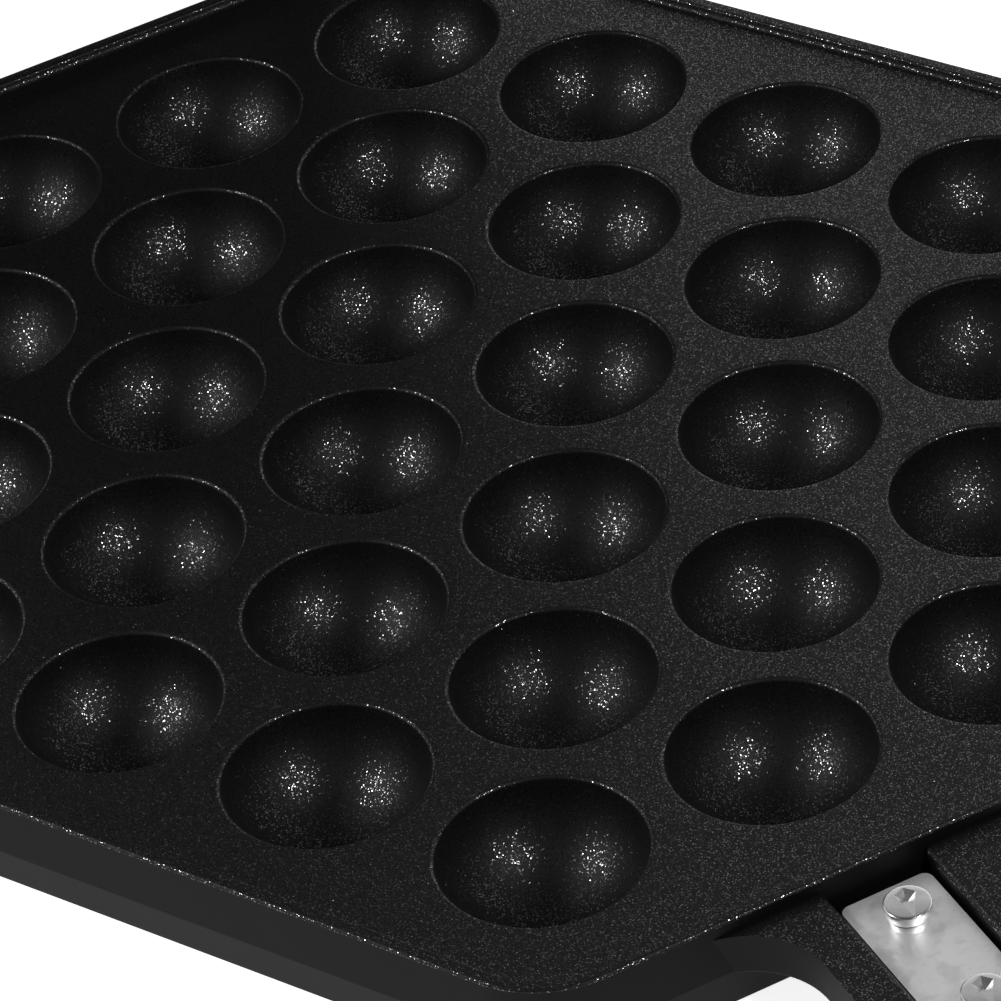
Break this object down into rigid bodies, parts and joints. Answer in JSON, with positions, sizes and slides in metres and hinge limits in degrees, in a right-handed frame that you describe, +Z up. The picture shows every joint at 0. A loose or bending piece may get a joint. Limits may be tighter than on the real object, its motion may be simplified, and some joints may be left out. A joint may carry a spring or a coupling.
{
  "type": "egg waffle pan",
  "caption": "Two-part hinged stove-top pan of coated cast aluminium, standing open, with a hexagonal field of round wells in each half, riveted straps, moulded grips and a hook latch.",
  "frame": {"origin": "on the surface that the pan stands on, under the middle of its bounding box", "axes": "+Z up; +X from the hinge to the lower half's handle; the hinge axis runs along Y"},
  "size_m": [0.5322, 0.2048, 0.4138],
  "materials": {
    "cast_coated": "black non-stick coating with fine metal flecks, satin",
    "strap_steel": "dull zinc-grey rolled steel",
    "rivet_steel": "bright plated",
    "grip_moulding": "moulded phenolic, satin black",
    "hinge_steel": "turned steel, bright",
    "latch_steel": "pressed steel, plated"
  },
  "bodies": {
    "lower_half": {"lower_plate": "cast_coated", "lower_strap": "strap_steel", "lower_strap_rivets": "rivet_steel", "lower_rivet_washers": "rivet_steel", "lower_grip": "grip_moulding", "lower_grip_screws": "hinge_steel", "left_hinge_pin": "hinge_steel", "left_pin_clip": "hinge_steel", "right_hinge_pin": "hinge_steel", "right_pin_clip": "hinge_steel", "latch_pivot_screw": "latch_steel", "latch_spring_washer": "latch_steel"},
    "upper_half": {"upper_plate": "cast_coated", "upper_strap": "strap_steel", "upper_strap_rivets": "rivet_steel", "upper_rivet_washers": "rivet_steel", "upper_grip": "grip_moulding", "upper_grip_screws": "hinge_steel", "latch_stud": "latch_steel"},
    "latch": {"latch_hook": "latch_steel"}
  },
  "joints": [
    {"name": "main_hinge", "type": "hinge", "parent": "lower_half", "child": "upper_half", "pos_m": [-0.14721, 0, 0.01495], "axis": [0, 1, 0], "range_deg": [0, 105]},
    {"name": "latch_swing", "type": "hinge", "parent": "lower_half", "child": "latch", "pos_m": [0.23207, -0.0121, 0.0076], "axis": [0, -1, 0], "range_deg": [0, 90]}
  ]
}
